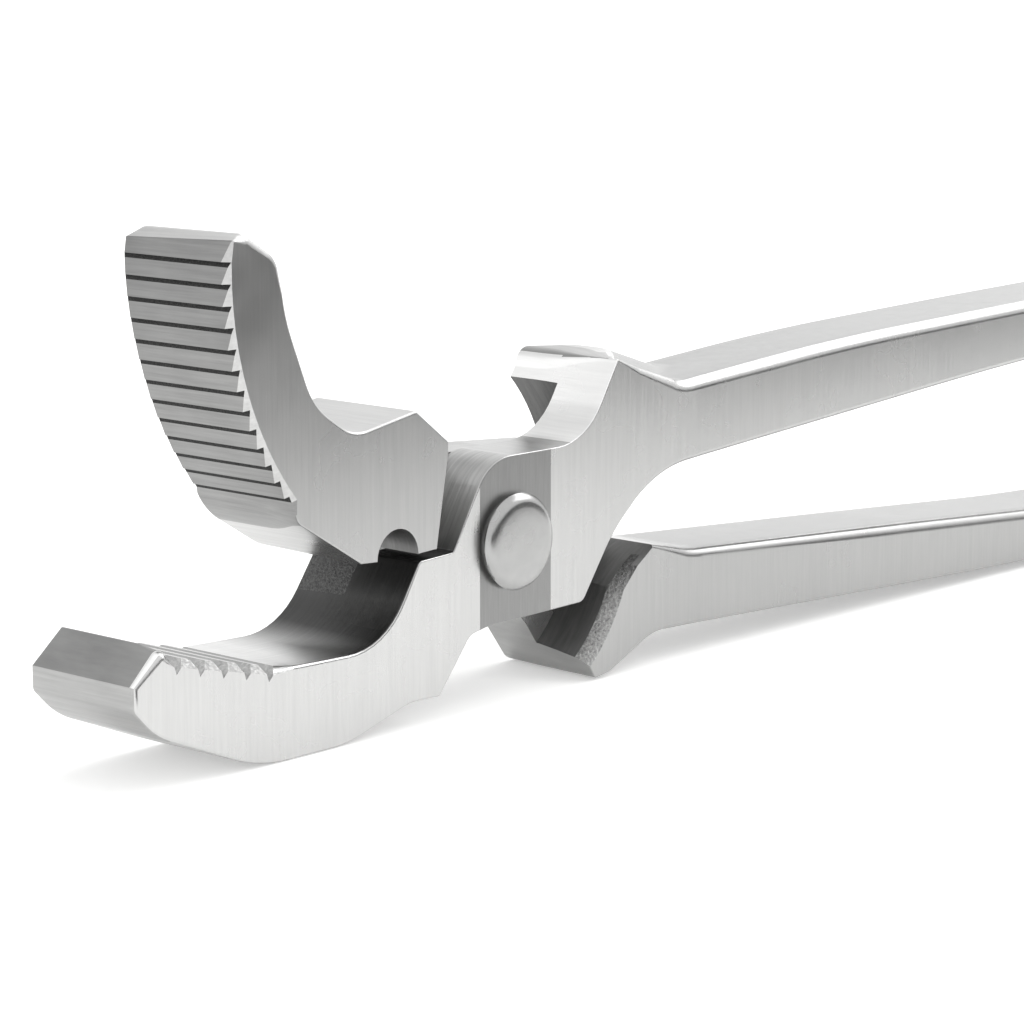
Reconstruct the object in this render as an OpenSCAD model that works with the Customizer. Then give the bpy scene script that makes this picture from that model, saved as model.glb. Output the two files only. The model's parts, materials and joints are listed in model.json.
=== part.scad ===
// Farrier's clinching tongs: two forged half-lapped levers that turn on one rivet.
// The tool stands on edge. +X runs from the jaws to the handles, +Y is the depth of
// the head and +Z is up. Outlines are drawn about the pivot, then moved so that the
// origin lies at the middle of the base.

/* [Head] */
// Width of the head across the boss
head_w = 22; // [20:0.5:24]
// Width added to each jaw at its tip by the sideways flare
jaw_flare = 1; // [0:0.25:2]
// Half length of the flat ground band across the boss
band_half_l = 8; // [6:0.5:10]
// Gap between the two lapped halves
lap_gap = 0.1; // [0.05:0.01:0.2]

/* [Laps] */
// Radius of the pocket in the rear lever's root, at the lap
pocket_lap_r = 28; // [27.5:0.1:29]
// Radius of the pocket in the rear lever's root, at its near face
pocket_face_r = 31.2; // [30:0.1:31.5]
// Radius of the pocket under the lug that clears the rear boss
lug_pocket_r = 32.2; // [31:0.1:32.5]
// Radius of the pocket in the lower jaw that clears the rear boss
jaw_pocket_r = 20; // [19.5:0.1:20.4]

/* [Handles] */
// Reach of the handles behind the pivot
handle_reach = 272.6; // [200:0.1:300]
// Width of the handle bars
handle_w = 20; // [18:0.5:21]
// Height of the bars at their ends
handle_end_h = 9; // [8:0.5:11]

/* [Upper jaw teeth] */
// Radius of the toothed face
tooth_face_r = 55.1; // [54.5:0.1:55.5]
// Number of saw teeth
tooth_count = 13; // [8:1:13]
// Distance from tooth to tooth
tooth_pitch = 3.3; // [3:0.05:3.4]
// Depth of the saw teeth
tooth_depth = 0.8; // [0.4:0.1:1.2]

/* [Lower jaw grooves] */
// Number of V grooves behind the tip
groove_count = 5; // [3:1:5]
// Distance from groove to groove
groove_pitch = 4.8; // [4:0.1:5]
// Depth of the V grooves
groove_depth = 2.3; // [1.5:0.1:2.5]
// Width of the V grooves at the surface
groove_w = 3.2; // [2.5:0.1:3.5]

/* [Notch] */
// Radius of the half-round notch in the foot of the upper jaw
notch_r = 4.6; // [4:0.2:5]

/* [Rivet] */
// Radius of the rivet's shank
shank_r = 5; // [4:0.25:6]
// Running clearance round the shank in the rear lever
shank_clearance = 0.05; // [0.01:0.01:0.1]
// Radius of the rivet heads
rivet_head_r = 8; // [7:0.25:9]
// Height of each head above the boss
rivet_head_h = 2.5; // [2:0.1:3]

/* [Hidden] */

$fn = 96;
corner_steps = 8;       // straight pieces in each rounded corner of an outline
over = 1;               // how far a cutting shape runs past what it cuts
tip_x = -82.4;          // end of the lower jaw, from the pivot
floor_z = -27;          // level of the surface below the pivot
front_y = -head_w / 2;
back_y = head_w / 2;
front_lap_y = -lap_gap / 2;
back_lap_y = lap_gap / 2;
upper_handle_top_z = 28.4;
lower_handle_top_z = floor_z + handle_end_h;
tooth_face_centre = [-7.7, 48.1];
first_tooth_angle = 177.9;
first_groove = [-73.4, -7.3];
groove_slope = -13;     // tilt of the grooved face, in degrees
notch_centre = [-26.9, 1];
flare_reach = 90;       // where the jaw flare is measured, ahead of the pivot
taper_reach = 50;       // where the handles reach their full taper, behind the pivot
envelope_h = 100;       // height of the solid that trims the widths

// Corner of an outline: [x, z, radius]. The arc that rounds it is worked out here.
function corner_arc(before, here, after) =
    let (
        in_dir = unit([here[0] - before[0], here[1] - before[1]]),
        out_dir = unit([after[0] - here[0], after[1] - here[1]]),
        turn = angle_between(in_dir, out_dir),
        side = in_dir[0] * out_dir[1] - in_dir[1] * out_dir[0] > 0 ? 1 : -1,
        reach = here[2] * tan(turn / 2),
        start = [here[0], here[1]] - in_dir * reach,
        centre = start + side * here[2] * [-in_dir[1], in_dir[0]],
        first = atan2(start[1] - centre[1], start[0] - centre[0])
    )
    here[2] == 0 || turn < 0.5
        ? [[here[0], here[1]]]
        : [for (i = [0:corner_steps])
            let (a = first + side * turn * i / corner_steps)
            centre + here[2] * [cos(a), sin(a)]];

function unit(v) = v / norm(v);
function angle_between(a, b) = acos(max(-1, min(1, a * b)));
function outline(points) =
    [for (i = [0:len(points) - 1])
        each corner_arc(points[(i + len(points) - 1) % len(points)], points[i],
                        points[(i + 1) % len(points)])];

// Point on the toothed face at a given angle, pushed out by a given height
function on_tooth_face(angle, height) =
    tooth_face_centre + (tooth_face_r + height) * [cos(angle), sin(angle)];

// Each saw tooth of the upper jaw, from the lowest up: the foot of its steep side, then
// its crest
saw_teeth = [
    for (i = [tooth_count - 1:-1:0])
        let (
            angle = first_tooth_angle + i * tooth_pitch / tooth_face_r * 180 / PI,
            foot = on_tooth_face(angle, -tooth_depth),
            crest = on_tooth_face(angle, 0)
        )
        each [[foot[0], foot[1], 0], [crest[0], crest[1], 0]]
];

// Each V groove of the lower jaw, from the tip back: near lip, bottom and far lip
v_grooves = [
    for (i = [0:groove_count - 1])
        let (
            along = [cos(groove_slope), sin(groove_slope)],
            down = [sin(groove_slope), -cos(groove_slope)],
            middle = first_groove + i * groove_pitch * along,
            near_lip = middle - along * groove_w / 2,
            bottom = middle + down * groove_depth,
            far_lip = middle + along * groove_w / 2
        )
        each [[near_lip[0], near_lip[1], 0.3], [bottom[0], bottom[1], 0],
              [far_lip[0], far_lip[1], 0.3]]
];

// Side view of the front lever: lower jaw, boss and upper handle
front_lever_near = concat([[-76.4, -5.1, 0.5]], v_grooves, [
    [-49.5, -12.4, 12], [-30.2, -12.9, 14], [-22, -0.2, 1.2], [-14.2, 0.1, 0.8],
    [-5.6, 14.1, 9], [18.3, 14, 14], [26.3, 26.9, 0.4], [33, 24.4, 8], [45, 20.6, 12],
    [90, 24.3, 300], [150, 25.9, 2000], [handle_reach, upper_handle_top_z, 3],
    [handle_reach, upper_handle_top_z - handle_end_h, 3], [150, 14.7, 2000],
    [38, 6.9, 28], [26.5, -1.2, 30], [17.6, -12.9, 2], [-5.5, -13.2, 6],
    [-10.2, -14.1, 3], [-17.4, -22.9, 0.4], [-24, -22.8, 12], [-38, -26.9, 24],
    [-57, -27, 30], [-78, -18.5, 14], [tip_x, -14, 1.5], [tip_x, -10.2, 0.5]
]);

// Side view of the lug and its handle, behind the lap
front_lever_lug = [
    [12, 13.5, 0], [17.8, 14, 12], [24.1, 24.3, 0.8], [24.6, 27.6, 3], [40, 26.4, 10],
    [54, 21.2, 16], [90, 24.3, 300], [150, 25.9, 2000],
    [handle_reach, upper_handle_top_z, 3],
    [handle_reach, upper_handle_top_z - handle_end_h, 3], [150, 14.7, 2000],
    [38, 6.9, 28], [30.8, 1.8, 0]
];

// Side view of the upper jaw with its square-ended block
upper_jaw = concat([
    [-61.4, 53.2, 0.5], [-58.4, 54.2, 1], [-51.9, 49.8, 4.5], [-50.6, 41, 30],
    [-45, 27, 12], [-36.5, 21.4, 8], [-22.6, 23.8, 0.5], [-15.4, 18.2, 0.6],
    [-15.4, 15.6, 4], [-18.2, 1.1, 0.3], [-35, 1.1, 1.5], [-49, 9.6, 0.8]
], saw_teeth);

// Side view of the rear lever behind the lap: web, boss and handle root
rear_lever_far = [
    [-26, 17.6, 0], [-13.6, 17.6, 6], [-5, 13.9, 10], [26, 11.8, 3], [29, -3, 14],
    [48, -8.3, 30], [110, -12.3, 300], [180, -17.2, 1000],
    [handle_reach, lower_handle_top_z, 3], [handle_reach, floor_z, 3],
    [150, -25.6, 2000], [37, -21.2, 14], [25, -26.5, 6],
    [22.3, -27, 3], [12.9, -14.3, 10], [-6, -14.3, 10], [-14.5, -2, 3], [-19, 2, 0],
    [-26, 2, 0]
];

// Side view of the rear lever's handle root in front of the lap, with its lip
rear_lever_near = [
    [14.9, -17.3, 0], [28, -12, 3], [36, -6.2, 5], [48, -8.3, 30], [110, -12.3, 300],
    [180, -17.2, 1000], [handle_reach, lower_handle_top_z, 3], [handle_reach, floor_z, 3],
    [150, -25.6, 2000], [37, -21.2, 14], [25, -26.5, 6], [21, -26.6, 1]
];

// Stands a side view up between two depths
module slab(y_low, y_high) {
    translate([0, y_high, 0])
        rotate([90, 0, 0])
            linear_extrude(y_high - y_low)
                children();
}

module side(points) {
    polygon(outline(points));
}

// Cylinder along the pivot's axis
module round_about_pivot(r, y_low, y_high) {
    slab(y_low, y_high) circle(r);
}

// Cone about the pivot's axis that widens from the lap to the near face
module drafted_pocket(lap_r, face_r) {
    translate([0, back_lap_y, 0])
        rotate([90, 0, 0])
            cylinder(h = head_w / 2 + over, r1 = lap_r, r2 = face_r);
}

// Plan view of the widths: flared jaws, flat band, tapered handles
module width_envelope() {
    jaw_half = head_w / 2 + jaw_flare / 2;
    handle_half = handle_w / 2;
    half_plan = [
        [-flare_reach, jaw_half], [-band_half_l, head_w / 2], [band_half_l, head_w / 2],
        [taper_reach, handle_half], [handle_reach + over, handle_half]
    ];
    mirrored = [for (i = [len(half_plan) - 1:-1:0]) [half_plan[i][0], -half_plan[i][1]]];
    translate([0, 0, floor_z - over])
        linear_extrude(envelope_h)
            polygon(concat(half_plan, mirrored));
}

module front_lever() {
    color([0.72, 0.72, 0.71])
        difference() {
            intersection() {
                union() {
                    slab(front_y - over, front_lap_y) side(front_lever_near);
                    lower_jaw_behind_lap();
                    lug_and_handle_behind_lap();
                }
                width_envelope();
            }
            round_about_pivot(shank_r, front_y - over, over);
        }
}

module lower_jaw_behind_lap() {
    difference() {
        slab(front_lap_y - over, back_y + over) side(front_lever_near);
        round_about_pivot(jaw_pocket_r, front_lap_y, back_y + 2 * over);
        translate([-jaw_pocket_r / 2, front_lap_y, floor_z - over])
            cube([handle_reach * 2, head_w, envelope_h]);
    }
}

module lug_and_handle_behind_lap() {
    difference() {
        slab(front_lap_y - over, back_y + over) side(front_lever_lug);
        round_about_pivot(lug_pocket_r, front_lap_y, back_y + 2 * over);
    }
}

module rear_lever() {
    color([0.68, 0.68, 0.67])
        difference() {
            intersection() {
                union() {
                    slab(front_y - over, back_y + over) side(upper_jaw);
                    slab(back_lap_y, back_y + 2 * over) side(rear_lever_far);
                    handle_root_before_lap();
                }
                width_envelope();
            }
            translate([notch_centre[0], 0, notch_centre[1]])
                round_about_pivot(notch_r, front_y - over, back_y + over);
            round_about_pivot(shank_r + shank_clearance, -over, back_y + over);
        }
}

module handle_root_before_lap() {
    difference() {
        slab(front_y - over, back_lap_y + over) side(rear_lever_near);
        drafted_pocket(pocket_lap_r, pocket_face_r);
    }
}

// Half of the rivet in section, from its axis outwards: shank, undercut and mushroom head
module rivet_half_section() {
    edge_r = 1.5;
    neck_r = rivet_head_r - 0.8;
    under_h = 0.7;
    face_y = head_w / 2 + rivet_head_h;
    polygon(concat(
        [[0, 0], [shank_r, 0], [shank_r, head_w / 2], [neck_r, head_w / 2],
         [rivet_head_r, head_w / 2 + under_h]],
        [for (a = [0:15:90])
            [rivet_head_r - edge_r + edge_r * cos(a),
             face_y - edge_r + edge_r * sin(a)]],
        [[0, face_y]]
    ));
}

module rivet() {
    color([0.75, 0.75, 0.74])
        for (turn = [90, -90])
            rotate([turn, 0, 0])
                rotate_extrude()
                    rivet_half_section();
}

module on_base() {
    translate([-(tip_x + handle_reach) / 2, 0, -floor_z]) children();
}

on_base() front_lever();
on_base() rear_lever();
on_base() rivet();
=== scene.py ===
"""Farrier's clinching tongs: the looks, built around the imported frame.

Outlines are in millimetres about the rivet's centre: x towards the handles, z up.
The near side is -Y, where the camera stands.
"""

import json
import math

import bmesh
import bpy
from mathutils import Matrix, Vector, noise


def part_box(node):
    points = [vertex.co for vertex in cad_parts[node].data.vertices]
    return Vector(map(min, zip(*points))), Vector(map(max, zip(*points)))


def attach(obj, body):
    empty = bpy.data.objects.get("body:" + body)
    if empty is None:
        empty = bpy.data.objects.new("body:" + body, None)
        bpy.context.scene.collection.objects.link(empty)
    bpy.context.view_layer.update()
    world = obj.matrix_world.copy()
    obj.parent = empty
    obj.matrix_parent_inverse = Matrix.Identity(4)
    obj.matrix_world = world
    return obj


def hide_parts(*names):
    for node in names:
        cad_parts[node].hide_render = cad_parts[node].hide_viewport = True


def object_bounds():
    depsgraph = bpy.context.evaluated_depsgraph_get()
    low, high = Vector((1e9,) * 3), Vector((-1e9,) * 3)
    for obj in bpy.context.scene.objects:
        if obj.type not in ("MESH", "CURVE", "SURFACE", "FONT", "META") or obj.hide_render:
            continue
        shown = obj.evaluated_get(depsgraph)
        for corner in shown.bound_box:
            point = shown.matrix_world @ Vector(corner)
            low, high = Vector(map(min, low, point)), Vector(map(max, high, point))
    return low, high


MM = 0.001
HEAD_HALF_W = 11.0
BAND_X = (-8, 9.2)
CORNER_STEPS = 8

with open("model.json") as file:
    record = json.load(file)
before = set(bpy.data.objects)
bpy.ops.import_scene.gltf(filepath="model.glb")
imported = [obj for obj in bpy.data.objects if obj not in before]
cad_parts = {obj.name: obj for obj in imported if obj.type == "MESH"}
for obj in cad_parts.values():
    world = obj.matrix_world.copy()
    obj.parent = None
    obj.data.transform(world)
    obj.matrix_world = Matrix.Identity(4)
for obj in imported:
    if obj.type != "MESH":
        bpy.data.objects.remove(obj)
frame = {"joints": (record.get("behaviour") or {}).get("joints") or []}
cad_low, cad_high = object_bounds()
PIVOT = Vector(frame["joints"][0]["pos_m"])
RIVET_HEAD_FACE = (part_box("rivet")[1].y - PIVOT.y) / MM
RIVET_HEAD_R = (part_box("rivet")[1].x - PIVOT.x) / MM
TIP_X = (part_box("front_lever")[0].x - PIVOT.x) / MM
HANDLE_END_X = (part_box("front_lever")[1].x - PIVOT.x) / MM
FLOOR_Z = (cad_low.z - PIVOT.z) / MM


# ---------------------------------------------------------------- outlines

def mix(a, b, share):
    return a + (b - a) * share


def ramp(value, low, high):
    """0 below low, 1 above high, and smooth in between."""
    t = max(0.0, min(1.0, (value - low) / (high - low)))
    return t * t * (3 - 2 * t)


HANDLE_EDGE = 1.6       # edges rounded this much or more are alike on both faces
FAR_EDGE = 0.3          # the most that any other edge is rounded on the far face


def corner_arc(before, here, after):
    """The arc that rounds one corner, as (x, z, near edge, far edge, slide) points.

    A corner is (x, z, radius, edge): edge is how much of its edge is rounded off on the
    near and far faces. A fifth value is the way a flat chamfer moves the edge instead,
    alike on both faces.
    """
    came = Vector((here[0] - before[0], here[1] - before[1])).normalized()
    goes = Vector((after[0] - here[0], after[1] - here[1])).normalized()
    turn = math.acos(max(-1.0, min(1.0, came.dot(goes))))
    edge = here[3]
    slide = here[4] if len(here) > 4 else None
    alike = edge >= HANDLE_EDGE or slide is not None
    finish = (edge, edge if alike else min(edge, FAR_EDGE), slide)
    if here[2] == 0:
        return [(here[0], here[1], *finish)]
    side = 1 if came.x * goes.y - came.y * goes.x > 0 else -1
    start = Vector(here[:2]) - came * here[2] * math.tan(turn / 2)
    centre = start + side * here[2] * Vector((-came.y, came.x))
    first = math.atan2(start.y - centre.y, start.x - centre.x)
    points = []
    for i in range(CORNER_STEPS + 1):
        a = first + side * turn * i / CORNER_STEPS
        points.append((centre.x + here[2] * math.cos(a),
                       centre.y + here[2] * math.sin(a), *finish))
    return points


def outline(corners):
    """A closed outline with its corners rounded."""
    points = []
    for i, here in enumerate(corners):
        points += corner_arc(corners[i - 1], here, corners[(i + 1) % len(corners)])
    return points


def inward(points, i):
    """Direction from an outline's point to its inside, as long as a mitre needs."""
    x, z = points[i][:2]
    before, after = points[i - 1], points[(i + 1) % len(points)]
    came = Vector((x - before[0], z - before[1])).normalized()
    goes = Vector((after[0] - x, after[1] - z)).normalized()
    normal = Vector((came.y + goes.y, -came.x - goes.x))
    if normal.length < 1e-6:
        return Vector((came.y, -came.x))
    normal.normalize()
    return normal / max(0.5, normal.dot(Vector((came.y, -came.x))))


FLAT_HALF_L = 8
JAW_FLARE = 0.5
JAW_FLARE_LENGTH = 82
HANDLE_TAPER = 1.0
HANDLE_TAPER_LENGTH = 42


def half_width(x):
    """Half the tool's depth: flared jaws, a flat band at the rivet, tapered handles."""
    if x < -FLAT_HALF_L:
        return HEAD_HALF_W + JAW_FLARE * (-FLAT_HALF_L - x) / JAW_FLARE_LENGTH
    share = max(0.0, min(1.0, (x - FLAT_HALF_L) / HANDLE_TAPER_LENGTH))
    return HEAD_HALF_W - HANDLE_TAPER * share


# ---------------------------------------------------------------- the levers

# The toothed face is centre x, centre z and radius. Pairs go from the top tooth to the
# lowest one.
TOOTH_FACE = (-7.7, 48.1, 55.1)
TEETH_Z = (50.4, 12.6)
TOOTH_COUNT = 13
TOOTH_PITCH = 3.3
TOOTH_DEPTH = (1.05, 0.6)
TOOTH_SLOPE = (0.7, 0.42)
TOOTH_ROOT_W = (0.8, 1.2)
TOOTH_CHAMFER = 1.1
FIRST_TOOTH = math.radians(177.9)
FIRST_GROOVE = Vector((-73.4, -7.3))
GROOVE_COUNT = 5
GROOVE_PITCH = 4.8
GROOVE_DEPTH = 2.3
GROOVE_HALF_W = 1.6
GROOVE_CHAMFER = 1.3
GROOVE_SLOPE = math.radians(-13)
NOTCH_X, NOTCH_Z, NOTCH_R = -26.9, 1.0, 4.6
UPPER_HANDLE_TOP = 28.4
HANDLE_END_H = 9


def tooth_corner(angle, height):
    """A point on a tooth, whose two ends are cut back to the jaw's chamfer lines."""
    x, z, radius = TOOTH_FACE
    out = Vector((math.cos(angle), math.sin(angle)))
    point = Vector((x, z)) + out * (radius + height)
    edge = TOOTH_CHAMFER + height
    return point.x, point.y, 0, edge, -out * edge


def saw_teeth():
    """From the lowest tooth up: end of the slope below, root, and crest above it."""
    corners = []
    for i in reversed(range(TOOTH_COUNT)):
        angle = FIRST_TOOTH + i * TOOTH_PITCH / TOOTH_FACE[2]
        share = i / (TOOTH_COUNT - 1)
        root_angle = mix(*TOOTH_ROOT_W, share) / TOOTH_FACE[2]
        corners.append(tooth_corner(angle + root_angle, -mix(*TOOTH_SLOPE, share)))
        corners.append(tooth_corner(angle, -mix(*TOOTH_DEPTH, share)))
        corners.append(tooth_corner(angle, 0))
    return corners


def v_grooves():
    """From the tip back: near lip, bottom and far lip of each groove."""
    along = Vector((math.cos(GROOVE_SLOPE), math.sin(GROOVE_SLOPE)))
    down = Vector((along.y, -along.x))
    corners = []
    for i in range(GROOVE_COUNT):
        middle = FIRST_GROOVE + along * GROOVE_PITCH * i
        for shift, edge in ((-1, GROOVE_CHAMFER), (0, 0.1), (1, GROOVE_CHAMFER)):
            point = middle + along * GROOVE_HALF_W * shift
            if shift == 0:
                point += down * GROOVE_DEPTH
            slide = (down - along * shift * GROOVE_HALF_W / GROOVE_DEPTH) * edge
            corners.append((point.x, point.y, 0, edge, slide))
    return corners


def front_lever_corners(depth):
    """Lower jaw, boss and upper handle. depth is 0 on the near face and 1 on the far."""
    lug = ramp(depth, 0.15, 0.75)
    return [
        (-76.4, -5.1, mix(1.5, 0.4, ramp(depth, 0, 0.2)), 1.4), *v_grooves(),
        (-49.5, -12.4, 12, 0.6), (mix(-30.2, -32, depth), -12.9, 14, 0.5),
        (mix(-22, -23, depth), -0.2, 1.2, 0.3),
        (-14.2, 0.1, 0.8, 0.2), (-5.6, 14.1, 9, 0.25), (mix(18.3, 17.8, lug), 14, 13, 0.2),
        (mix(26.1, 24.1, lug), mix(26.3, 24.3, lug), mix(0.3, 0.8, lug), 0.25),
        (mix(26.5, 24.6, lug), mix(27, 27.6, lug), mix(0.3, 3, lug), 0.3),
        (mix(33, 40, lug), mix(24.8, 26.4, lug), mix(8, 10, lug), 1.2),
        (mix(45, 54, lug), mix(21.2, 21.6, lug), mix(12, 16, lug), 2.0),
        (90, 24.3, 900, 2.2), (150, 25.9, 2000, 2.2),
        (HANDLE_END_X, UPPER_HANDLE_TOP, 3, 2.2),
        (HANDLE_END_X, UPPER_HANDLE_TOP - HANDLE_END_H, 3, 0.9), (150, 14.7, 2000, 0.9),
        (38, 6.9, 28, 0.8), (26.5, -1.2, 30, 0.5), (17.6, -12.9, 2, 0.3),
        (-5.5, -13.2, 6, 0.2), (-10.2, -14.1, 3, 0.3), (-17.4, -22.9, 0.5, 0.4),
        (-24, -22.8, 12, 0.6), (-38, -26.9, 24, 0.7), (-57, -27, 30, 0.7),
        (-78, -18.5, 14, 0.7), (TIP_X, -14, 1.5, 0.9), (TIP_X, -10.2, 0, 0.9),
    ]


def rear_lever_corners(depth):
    """Upper jaw, web, far boss and lower handle. depth is as for the front lever."""
    inner = ramp(depth, 0.0, 0.5)
    top_end = FLOOR_Z + HANDLE_END_H
    notch = [
        (NOTCH_X + NOTCH_R * math.cos(a), NOTCH_Z + NOTCH_R * math.sin(a), 0, 0.15)
        for a in (math.pi * i / 16 for i in range(17))
    ]
    return [
        (-61.4, mix(53.2, 52.4, depth), 0.3, 0.3), (-58.4, 54.2, 1.7, 1.6),
        (-51.9, 49.8, 4.5, 1.2),
        (-50.6, 41, 30, 0.6), (-45, 27, 12, 0.5), (-36.5, 21.4, 8, 0.45),
        (-22.6, 23.8, 0.5, 0.45), (-15.3, 18.2, 0.5, 0.4), (-5, 13.9, 10, 0.3),
        (26, 11.8, 3, 0.4), (30, -4.6, 10, 0.6), (48, -8.3, 30, 1.7),
        (110, -12.3, 300, 2.2), (180, -17.2, 1000, 2.2), (HANDLE_END_X, top_end, 3, 2.2),
        (HANDLE_END_X, FLOOR_Z, 3, 0.9), (150, -25.6, 2000, 0.9),
        (37, -21.2, 14, 0.8), (25, mix(-26.2, -26.5, inner), 6, 0.6),
        (mix(21, 22.3, depth), mix(-26.6, -27, depth), mix(0.9, 3, depth), 0.35),
        (12.9, -14.3, 10, 0.3), (-6, -14.3, 10, 0.3),
        (-14.5, -2, 3, 0.3), (-18.2, 1.1, 0.3, 0.3), *notch,
        (-35, 1.1, mix(1.5, 11, depth), 0.4),
        (mix(-49, -47.2, inner), mix(9.6, 8.6, inner), mix(2.5, 12, inner), 0.2),
        *saw_teeth(),
    ]


EDGE_STEPS = 4
MIDDLE_STATIONS = 10
FAR_FLARE = 0.09
FAR_FLARE_Z = (29, 54)


def ring_point(points, i, kind, share):
    """Where one point of an outline goes on one station, as (x, y, z)."""
    x, z, near_edge, far_edge, slide = points[i]
    if kind == "middle":
        return x, mix(near_edge - HEAD_HALF_W, HEAD_HALF_W - far_edge, share), z
    edge = near_edge if kind == "near" else far_edge
    if slide is None:
        inset = 1 - math.sin(math.pi / 2 * share)
        drop = 1 - math.cos(math.pi / 2 * share)
        move = inward(points, i) * edge * inset
    else:
        drop = share
        move = slide * (edge / near_edge) * (1 - share)
    y = HEAD_HALF_W - edge * drop
    return x + move.x, -y if kind == "near" else y, z + move.y


def lever_mesh(corners_at, breaks):
    """Lofts a lever across its depth, from its outline at each depth."""
    shares = [i / EDGE_STEPS for i in range(EDGE_STEPS + 1)]
    between = [(i + 1) / (MIDDLE_STATIONS + 1) for i in range(MIDDLE_STATIONS)]
    stations = [("near", 0.0, share) for share in shares]
    stations += [("middle", share, share) for share in between]
    stations += [("far", 1.0, share) for share in reversed(shares)]
    bm = bmesh.new()
    rings = []
    for kind, depth, share in stations:
        points = outline(corners_at(depth))
        rings.append([bm.verts.new(ring_point(points, i, kind, share))
                      for i in range(len(points))])
    for ring, following in zip(rings, rings[1:]):
        for i in range(len(ring)):
            bm.faces.new((ring[i - 1], ring[i], following[i], following[i - 1]))
    bm.faces.new(reversed(rings[0]))
    bm.faces.new(rings[-1])
    for x in breaks:
        bmesh.ops.bisect_plane(bm, geom=bm.verts[:] + bm.edges[:] + bm.faces[:],
                               plane_co=(x, 0, 0), plane_no=(1, 0, 0))
    for v in bm.verts:
        v.co.y *= half_width(v.co.x) / HEAD_HALF_W
        if v.co.y > 0:
            v.co.y *= 1 + FAR_FLARE * ramp(v.co.z, *FAR_FLARE_Z)
    bmesh.ops.recalc_face_normals(bm, faces=bm.faces[:])
    return bm


def loft(rings):
    """A closed solid from rings of the same length, given as (x, y, z) points."""
    bm = bmesh.new()
    rows = [[bm.verts.new(p) for p in ring] for ring in rings]
    for row, following in zip(rows, rows[1:]):
        for i in range(len(row)):
            bm.faces.new((row[i - 1], row[i], following[i], following[i - 1]))
    bm.faces.new(reversed(rows[0]))
    bm.faces.new(rows[-1])
    bmesh.ops.recalc_face_normals(bm, faces=bm.faces[:])
    return bm


def arc(radius, start, end, steps):
    """Points on a circle about the pivot, with its angles in degrees."""
    return [
        (radius * math.cos(math.radians(mix(start, end, i / steps))),
         radius * math.sin(math.radians(mix(start, end, i / steps))))
        for i in range(steps + 1)
    ]


LAP_GAP_HALF = 0.05
CUT_PAST = 14.0
JAW_POCKET_R = 20
LUG_POCKET_R = 32.2
ROOT_POCKET_R = 28.0
SHANK_R = 5.0
SHANK_PLAY = 0.05


def far_lap_cutter():
    """What is cut from the front lever behind its near half, round the pivot."""
    shape = arc(JAW_POCKET_R, 250, 100, 24) + arc(LUG_POCKET_R, 88, -70, 40)
    return loft([[(x, y, z) for x, z in shape] for y in (-LAP_GAP_HALF, CUT_PAST)])


def near_lap_cutter():
    """What is cut from the rear lever before its far half: a drafted, forged pocket."""
    pocket = ((LAP_GAP_HALF, ROOT_POCKET_R), (-4.0, 28.7), (-8.0, 29.6), (-9.4, 30.2),
              (-10.4, 30.9), (-11.0, 31.5), (-CUT_PAST, 34.5))
    rings = []
    for y, radius in pocket:
        opened = radius - ROOT_POCKET_R
        shape = [(-15.4, 60), (-15.4, 16.4), (-15.8, 14), (-18.25, 0.6), (-18.4, -50)]
        shape += arc(radius, -72, -24, 24)
        shape += [(29.2 + opened, -8.9), (31.6 + opened, -7.4), (34 + 0.7 * opened, -6.4),
                  (36.5, -5.7), (42, 0), (42, 60)]
        rings.append([(x, y, z) for x, z in shape])
    return loft(rings)


def bore_cutter(radius):
    return loft([[(x, y, z) for x, z in arc(radius, 0, 352.5, 47)]
                 for y in (-CUT_PAST, CUT_PAST)])


def object_from(bm, name):
    mesh = bpy.data.meshes.new(name)
    bm.to_mesh(mesh)
    bm.free()
    made = bpy.data.objects.new(name, mesh)
    bpy.context.scene.collection.objects.link(made)
    return made


def cut(target, cutter_bm):
    """Takes a solid away from an object for good."""
    tool = object_from(cutter_bm, "cutter")
    modifier = target.modifiers.new("cut", "BOOLEAN")
    modifier.operation = "DIFFERENCE"
    modifier.solver = "EXACT"
    modifier.object = tool
    bpy.context.view_layer.update()
    evaluated = target.evaluated_get(bpy.context.evaluated_depsgraph_get())
    result = bpy.data.meshes.new_from_object(evaluated)
    target.modifiers.clear()
    old = target.data
    target.data = result
    bpy.data.meshes.remove(old)
    bpy.data.objects.remove(tool)


SHARP_ANGLE = math.radians(24)


def settle(target, region_of):
    """Puts a lever in the frame's metres, sorts its faces into finishes, shades it."""
    bm = bmesh.new()
    bm.from_mesh(target.data)
    bmesh.ops.remove_doubles(bm, verts=bm.verts[:], dist=0.0005)
    bmesh.ops.dissolve_degenerate(bm, edges=bm.edges[:], dist=0.0005)
    bm.normal_update()
    for face in bm.faces:
        face.smooth = True
        face.material_index = region_of(face.calc_center_median(), face.normal)
    for edge in bm.edges:
        edge.smooth = len(edge.link_faces) == 2 and edge.calc_face_angle(0) < SHARP_ANGLE
    bmesh.ops.transform(bm, matrix=Matrix.Translation(PIVOT) @ Matrix.Scale(MM, 4),
                        verts=bm.verts[:])
    bm.to_mesh(target.data)
    bm.free()
    weighted = target.modifiers.new("flat_faces", "WEIGHTED_NORMAL")
    weighted.keep_sharp = True


# ---------------------------------------------------------------- steel finishes

def new_material(name):
    material = bpy.data.materials.new(name)
    material.use_nodes = True
    tree = material.node_tree
    return material, tree, tree.nodes["Principled BSDF"]


def add(tree, kind, **settings):
    node = tree.nodes.new(kind)
    for key, value in settings.items():
        setattr(node, key, value)
    return node


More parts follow.
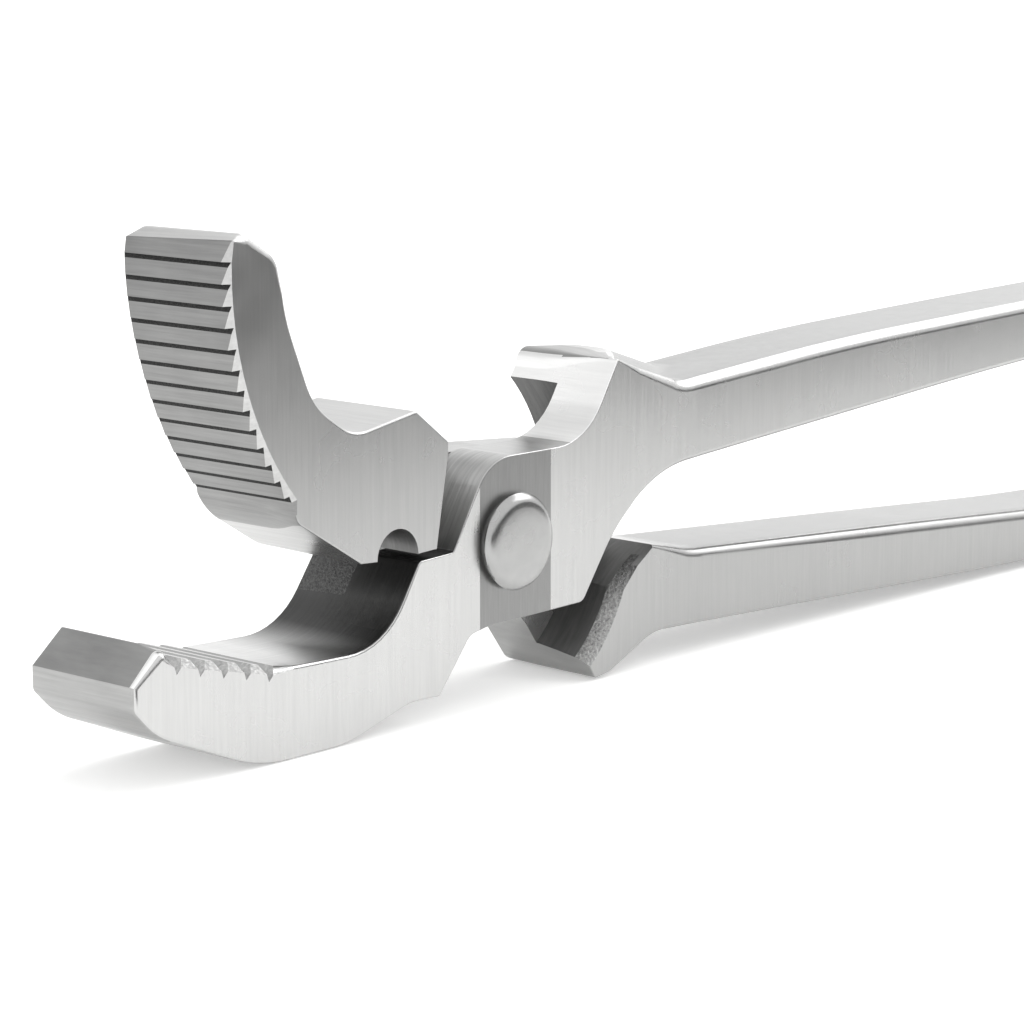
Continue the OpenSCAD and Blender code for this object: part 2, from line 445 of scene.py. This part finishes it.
def noise_along(tree, stretch, detail, coarse=1.0):
    """Noise drawn out along the axes where stretch is small."""
    place = add(tree, "ShaderNodeTexCoord")
    mapping = add(tree, "ShaderNodeMapping")
    mapping.inputs["Scale"].default_value = [coarse * s for s in stretch]
    texture = add(tree, "ShaderNodeTexNoise")
    texture.inputs["Scale"].default_value = 1.0
    texture.inputs["Detail"].default_value = detail
    texture.inputs["Roughness"].default_value = 0.65
    tree.links.new(place.outputs["Object"], mapping.inputs["Vector"])
    tree.links.new(mapping.outputs["Vector"], texture.inputs["Vector"])
    return texture.outputs["Fac"]


def ranged(tree, value, low, high, to_low, to_high):
    node = add(tree, "ShaderNodeMapRange")
    node.inputs["From Min"].default_value = low
    node.inputs["From Max"].default_value = high
    node.inputs["To Min"].default_value = to_low
    node.inputs["To Max"].default_value = to_high
    tree.links.new(value, node.inputs["Value"])
    return node.outputs["Result"]


def shaded(tree, value, dark, light):
    ramp_node = add(tree, "ShaderNodeValToRGB")
    ramp_node.color_ramp.elements[0].position = 0.3
    ramp_node.color_ramp.elements[0].color = (dark, dark, 0.995 * dark, 1)
    ramp_node.color_ramp.elements[1].position = 0.7
    ramp_node.color_ramp.elements[1].color = (light, light, 0.99 * light, 1)
    tree.links.new(value, ramp_node.inputs["Fac"])
    return ramp_node.outputs["Color"]


def with_painted_shade(tree, colour, fade):
    """Paints shade onto a colour along one axis: fade is axis, from, to and what is left there.
    """
    if fade is None:
        return colour
    place = add(tree, "ShaderNodeTexCoord")
    axes = add(tree, "ShaderNodeSeparateXYZ")
    tree.links.new(place.outputs["Object"], axes.inputs[0])
    origin = PIVOT["XYZ".index(fade[0])]
    scaled = add(tree, "ShaderNodeVectorMath", operation="SCALE")
    tree.links.new(colour, scaled.inputs[0])
    left = ranged(tree, axes.outputs[fade[0]], origin + MM * fade[1],
                  origin + MM * fade[2], 1.0, fade[3])
    tree.links.new(left, scaled.inputs["Scale"])
    return scaled.outputs[0]


def ground_steel(name, stretch, dark, light, rough, bump, fade=None):
    """Ground steel. stretch is fine across the grinding marks and small along them."""
    material, tree, shader = new_material(name)
    streaks = noise_along(tree, stretch, 6)
    clouds = noise_along(tree, (60, 60, 60), 3)
    blend = add(tree, "ShaderNodeMath", operation="MULTIPLY_ADD")
    tree.links.new(streaks, blend.inputs[0])
    blend.inputs[1].default_value = 0.6
    tree.links.new(ranged(tree, clouds, 0.0, 1.0, 0.0, 0.4), blend.inputs[2])
    colour = with_painted_shade(tree, shaded(tree, blend.outputs[0], dark, light), fade)
    tree.links.new(colour, shader.inputs["Base Color"])
    tree.links.new(ranged(tree, clouds, 0.3, 0.7, *rough), shader.inputs["Roughness"])
    relief = add(tree, "ShaderNodeBump")
    relief.inputs["Strength"].default_value = bump
    relief.inputs["Distance"].default_value = 0.0002
    tree.links.new(streaks, relief.inputs["Height"])
    tree.links.new(relief.outputs["Normal"], shader.inputs["Normal"])
    shader.inputs["Metallic"].default_value = 1.0
    return material


def forged_steel(name, dark, light, rough, grain, bump, fade=None):
    """Unground skin left by the forging die: fine round grain. Made near black, it is also the
    painted shade in tooth roots.
    """
    material, tree, shader = new_material(name)
    pits = noise_along(tree, (grain, grain, grain), 5)
    colour = with_painted_shade(tree, shaded(tree, pits, dark, light), fade)
    tree.links.new(colour, shader.inputs["Base Color"])
    shader.inputs["Roughness"].default_value = rough
    relief = add(tree, "ShaderNodeBump")
    relief.inputs["Strength"].default_value = bump
    relief.inputs["Distance"].default_value = 0.0004
    tree.links.new(pits, relief.inputs["Height"])
    tree.links.new(relief.outputs["Normal"], shader.inputs["Normal"])
    shader.inputs["Metallic"].default_value = 1.0
    return material


(SIDE, REAR_SIDE, BAND, ACROSS, TEETH, BEVEL, JAW_END, SWOOP, AROUND, HOLLOW, WALL, SKIN,
 PAINTED_SHADE, PLAIN, RIVET, LIP, RELIEF, TOP) = range(18)


def finishes():
    """The steels, in the order of the names above.

    Streaks run along the axis where the stretch is small.
    """
    upright, across, around = (1500, 1500, 60), (1600, 50, 1600), (70, 1500, 70)
    return [
        # Painted shade: the rear lever's sides are a darker copy of the front lever's, and both
        # darken towards the handles.
        ground_steel("front_side", upright, 0.55, 0.64, (0.24, 0.3), 0.1, ("X", -30, 45, 0.8)),
        ground_steel("rear_side", upright, 0.42, 0.49, (0.26, 0.32), 0.12, ("X", 10, 45, 0.88)),
        ground_steel("band_ground", (2000, 2000, 120), 0.26, 0.33, (0.32, 0.4), 0.15),
        ground_steel("ground_across", across, 0.44, 0.62, (0.26, 0.36), 0.2),
        ground_steel("tooth_face", across, 0.22, 0.34, (0.3, 0.38), 0.15),
        ground_steel("tip_bevel", (300, 50, 300), 0.27, 0.42, (0.3, 0.4), 0.1),
        ground_steel("jaw_end", across, 0.32, 0.46, (0.28, 0.36), 0.2),
        # Painted highlight: near-white steel for the swoop under the lug and the tip's chamfer.
        ground_steel("ground_painted_highlight", across, 0.86, 0.97, (0.26, 0.34), 0.15),
        # Painted shade: darker towards the bottom round the boss.
        ground_steel("ground_around", around, 0.3, 0.62, (0.26, 0.36), 0.3, ("Z", 9, -1, 0.3)),
        # Painted reflection and shade: bright near the tip, darkened towards the jaw's root
        # where the upper jaw is mirrored.
        ground_steel("jaw_hollow", around, 0.62, 0.86, (0.26, 0.36), 0.3,
                     ("X", -46, -32, 0.12)),
        # Painted shade: dark steel for the pocket walls in the handle's root and the notch's
        # inside.
        ground_steel("pocket_wall_painted_shade", (90, 900, 90), 0.16, 0.3, (0.42, 0.5), 0.3),
        # Real forged skin, with painted shade that darkens it higher up.
        forged_steel("forged_skin", 0.22, 0.62, 0.4, 2200, 0.8, ("Z", -16, -8, 0.3)),
        # Painted shade: near black, for the tooth roots and the step under the upper jaw's
        # block.
        forged_steel("painted_shade_black", 0.03, 0.07, 0.6, 3000, 0.4),
        ground_steel("handle_plain", (500, 500, 500), 0.36, 0.44, (0.2, 0.26), 0.03),
        ground_steel("rivet_bright", (400, 400, 400), 0.38, 0.45, (0.22, 0.3), 0.05),
        forged_steel("groove_lip", 0.38, 0.72, 0.4, 1500, 0.5),
        # Painted shade: near-black steel on the relief wall behind the lug.
        ground_steel("lug_relief_painted_shade", (90, 900, 90), 0.08, 0.17, (0.42, 0.5), 0.3),
        # Painted light: a lighter copy of ground_across for the top of the upper jaw's block.
        ground_steel("top_ground_painted_light", across, 0.52, 0.68, (0.3, 0.4), 0.15),
    ]


SIDE_FACING = 0.8       # how far a face must turn to the side to be part of the flat side
BOSS_R = 17
TIP_BEVEL_X = -75.5
# Tooth roots are painted black as shade.
ROOT_PHASE = 0.43       # the share of each pitch that is a tooth's dark root


def front_lever_region(centre, normal):
    """Which finish a face of the front lever has. centre is in millimetres."""
    reach = math.hypot(centre.x, centre.z)
    if abs(normal.y) > SIDE_FACING:
        return BAND if BAND_X[0] < centre.x < BAND_X[1] else SIDE
    # chamfers of the tip, which get painted highlight, and of the grooves' lips
    if centre.x < -52 and centre.y < -9.5 and normal.z > 0.2:
        return SWOOP if centre.x < TIP_BEVEL_X else LIP
    # The relief wall behind the lug is painted dark as shade.
    if centre.y > 0 and centre.x > 0 and abs(reach - LUG_POCKET_R) < 0.6:
        return RELIEF
    # top of the lug, the handle, then the swoop under the lug, which gets painted highlight
    if 24 < centre.x < 36 and centre.y > -8 and centre.z > 24.5 and normal.z > 0.75:
        return BEVEL
    if centre.x > 40:
        return PLAIN
    if centre.x > 10 and centre.z > 8 and normal.x < -0.2:
        return SWOOP
    # step under the upper jaw's block, painted black as shade, then the rough skin and the
    # hollow before it, both carrying painted shade too
    if -23 < centre.x < -13 and -1.5 < centre.z < 1 and normal.z > 0.7:
        return PAINTED_SHADE
    if -30 < centre.x < -22 and centre.y > 1 and -5.5 < centre.z < -1 and normal.z > 0:
        return SKIN
    if -54 < centre.x < -20 and normal.z > 0:
        return HOLLOW
    if centre.x < 0 and reach < BOSS_R:
        return AROUND
    if centre.x < TIP_BEVEL_X:
        return BEVEL if normal.z > 0.5 else JAW_END
    return ACROSS


def rear_lever_region(centre, normal):
    """Which finish a face of the rear lever has."""
    if abs(normal.y) > SIDE_FACING:
        return REAR_SIDE
    x, z, radius = TOOTH_FACE
    height = math.hypot(centre.x - x, centre.z - z) - radius
    reach = math.hypot(centre.x, centre.z)
    # toothed face: the roots are the first part of each pitch, painted black as shade
    if centre.x < -30 and height > -12 and normal.x - normal.z < 0.3 and centre.z < 54:
        angle = math.atan2(centre.z - z, centre.x - x) % math.tau
        phase = ((angle - FIRST_TOOTH) * radius / TOOTH_PITCH + 0.05) % 1
        toothed = TEETH_Z[1] < centre.z < TEETH_Z[0]
        if toothed and phase < ROOT_PHASE and abs(normal.y) < 0.2:
            return PAINTED_SHADE
        if height > -1.4 or centre.z < 12:
            on_chamfer = normal.y < -0.3 and height > -1.4 and centre.z > TEETH_Z[1]
            return ACROSS if on_chamfer else TEETH
    # The notch's inside is painted dark as shade.
    if math.hypot(centre.x - NOTCH_X, centre.z - NOTCH_Z) < NOTCH_R + 0.3:
        return WALL
    # The block's top is painted lighter, as light falls on it.
    if centre.x < -22 and centre.z > 18 and normal.z > 0.4:
        return TOP
    # pocket in the handle's root, with painted shade on its walls, then the root's lower end
    if centre.y < 0 and 10 < centre.x < 37 and reach < 38 and normal.z > 0.2:
        return SKIN if centre.y < -8.2 and reach < 33.5 else WALL
    if reach > BOSS_R and 8 < centre.x < 36 and centre.z < -13:
        return BEVEL
    if centre.x > 40:
        return PLAIN
    if reach < BOSS_R:
        return AROUND
    return ACROSS


def make_levers(steels):
    """Both forgings. breaks are where extra edges let the width change along them."""
    breaks = (-60, -30, -FLAT_HALF_L, FLAT_HALF_L, BAND_X[1], 20, 35, 50, 120, 190)
    rows = (
        ("front_lever", front_lever_corners, far_lap_cutter, SHANK_R, front_lever_region),
        ("rear_lever", rear_lever_corners, near_lap_cutter, SHANK_R + SHANK_PLAY,
         rear_lever_region),
    )
    for node, corners_at, lap_cutter, bore_r, region_of in rows:
        lever = object_from(lever_mesh(corners_at, breaks), node + "_forging")
        cut(lever, lap_cutter())
        cut(lever, bore_cutter(bore_r))
        for steel in steels:
            lever.data.materials.append(steel)
        settle(lever, region_of)
        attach(lever, node)
        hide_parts(node)


# ---------------------------------------------------------------- the rivet

RIVET_SIDES = 96


def rivet_section():
    """Half a section of the rivet, from the middle of its near face to its far face."""
    face, rim = RIVET_HEAD_FACE, RIVET_HEAD_R
    head = [
        (0.0, face), (3.6, face - 0.02), (5.6, face - 0.07), (6.5, face - 0.16),
        (7.0, face - 0.32), (7.4, face - 0.58), (7.75, face - 0.95), (rim, face - 1.35),
        (rim - 0.05, face - 1.6), (rim - 0.35, face - 1.85), (rim - 0.85, face - 2.1),
        (rim - 1.0, face - 2.5), (4.95, face - 2.5),
    ]
    return [(r, -y) for r, y in head] + [(r, y) for r, y in reversed(head)]


def make_rivet(steel):
    bm = bmesh.new()
    rows = []
    for r, y in rivet_section():
        if r == 0:
            rows.append([bm.verts.new((0, y, 0))])
            continue
        row = []
        for i in range(RIVET_SIDES):
            a = math.tau * i / RIVET_SIDES
            dent = noise.noise(Vector((3 * math.cos(a), 3 * math.sin(a), 0.2 * y + r)))
            swell = 1 + (0.008 * dent if r > 6 else 0)
            reach = min(r * swell, RIVET_HEAD_R)
            row.append(bm.verts.new((reach * math.cos(a), y, reach * math.sin(a))))
        rows.append(row)
    for row, following in zip(rows, rows[1:]):
        for i in range(RIVET_SIDES):
            corners = [row[i - 1] if len(row) > 1 else row[0]]
            corners += [row[i]] if len(row) > 1 else []
            corners += [following[i]] if len(following) > 1 else []
            corners += [following[i - 1] if len(following) > 1 else following[0]]
            bm.faces.new(corners)
    bmesh.ops.recalc_face_normals(bm, faces=bm.faces[:])
    for face in bm.faces:
        face.smooth = True
    for edge in bm.edges:
        edge.smooth = edge.calc_face_angle(0) < math.radians(40)
    bmesh.ops.transform(bm, matrix=Matrix.Translation(PIVOT) @ Matrix.Scale(MM, 4),
                        verts=bm.verts[:])
    rivet = object_from(bm, "rivet_headed")
    rivet.data.materials.append(steel)
    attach(rivet, "front_lever")
    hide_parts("rivet")


# ---------------------------------------------------------------- stage

def make_camera():
    """The photograph's viewing angle: a long lens, a little above the tool."""
    azimuth, elevation = math.radians(-47.8), math.radians(10.25)
    back = Vector((math.sin(azimuth) * math.cos(elevation),
                   -math.cos(azimuth) * math.cos(elevation), math.sin(elevation)))
    target = PIVOT + MM * Vector((11.8, 0, 1.8))
    data = bpy.data.cameras.new("camera")
    data.lens = 117.8
    data.sensor_width = 36
    camera = bpy.data.objects.new("camera", data)
    camera.location = target + back * 559.3 * MM
    camera.rotation_mode = "QUATERNION"
    camera.rotation_quaternion = (-back).to_track_quat("-Z", "Y")
    bpy.context.scene.collection.objects.link(camera)
    bpy.context.scene.camera = camera


def flat_panel(name, centre, normal, width, height):
    bm = bmesh.new()
    bmesh.ops.create_grid(bm, x_segments=1, y_segments=1, size=0.5)
    panel = object_from(bm, name)
    panel.scale = (width, height, 1)
    panel.rotation_mode = "QUATERNION"
    panel.rotation_quaternion = Vector(normal).to_track_quat("Z", "Y")
    panel.location = centre
    return panel


def make_floor():
    floor = flat_panel("floor", (0, 0, cad_low.z), (0, 0, 1), 30, 30)
    material, tree, shader = new_material("white_paper")
    paper = noise_along(tree, (20, 20, 20), 2)
    tree.links.new(shaded(tree, paper, 0.90, 0.92),
                   shader.inputs["Base Color"])
    shader.inputs["Roughness"].default_value = 0.9
    shader.inputs["Specular IOR Level"].default_value = 0.2
    shader.inputs["Emission Color"].default_value = (1, 1, 1, 1)
    shader.inputs["Emission Strength"].default_value = 0.3
    floor.data.materials.append(material)


def make_dark_card():
    """A grey card out of the picture, which the upright faces mirror."""
    card = flat_panel("dark_card", Vector((PIVOT.x + 0.3, -0.22, cad_low.z + 0.043)),
                      (0, 1, 0), 0.9, 0.084)
    material, _, shader = new_material("card_grey")
    shader.inputs["Base Color"].default_value = (0.03, 0.03, 0.03, 1)
    shader.inputs["Roughness"].default_value = 1.0
    card.data.materials.append(material)
    card.visible_camera = False
    card.visible_shadow = False
    card.visible_diffuse = False


def softbox(name, direction, distance, size, power):
    light = bpy.data.lights.new(name, "AREA")
    light.shape = "RECTANGLE"
    light.size, light.size_y = size
    light.energy = power
    lamp = bpy.data.objects.new(name, light)
    away = Vector(direction).normalized()
    lamp.location = PIVOT + away * distance
    lamp.rotation_mode = "QUATERNION"
    lamp.rotation_quaternion = away.to_track_quat("Z", "Y")
    bpy.context.scene.collection.objects.link(lamp)


def make_light():
    """An even white surround, darker high up behind, and one softbox on the right."""
    world = bpy.data.worlds.new("studio")
    bpy.context.scene.world = world
    world.use_nodes = True
    tree = world.node_tree
    background = tree.nodes["Background"]
    background.inputs["Color"].default_value = (1, 1, 1, 1)
    place = add(tree, "ShaderNodeTexCoord")
    facing = add(tree, "ShaderNodeVectorMath", operation="DOT_PRODUCT")
    facing.inputs[1].default_value = Vector((-0.02, 0.66, 0.75)).normalized()
    tree.links.new(place.outputs["Generated"], facing.inputs[0])
    patch = ranged(tree, facing.outputs["Value"], 0.84, 0.96, 1.1, 0.75)
    tree.links.new(patch, background.inputs["Strength"])
    softbox("key", (0.73, -0.05, 0.6), 1.3, (1.5, 0.7), 8)


make_camera()
make_floor()
make_dark_card()
make_light()
STEELS = finishes()
make_levers(STEELS)
make_rivet(STEELS[RIVET])
bpy.context.scene.view_settings.view_transform = "Standard"
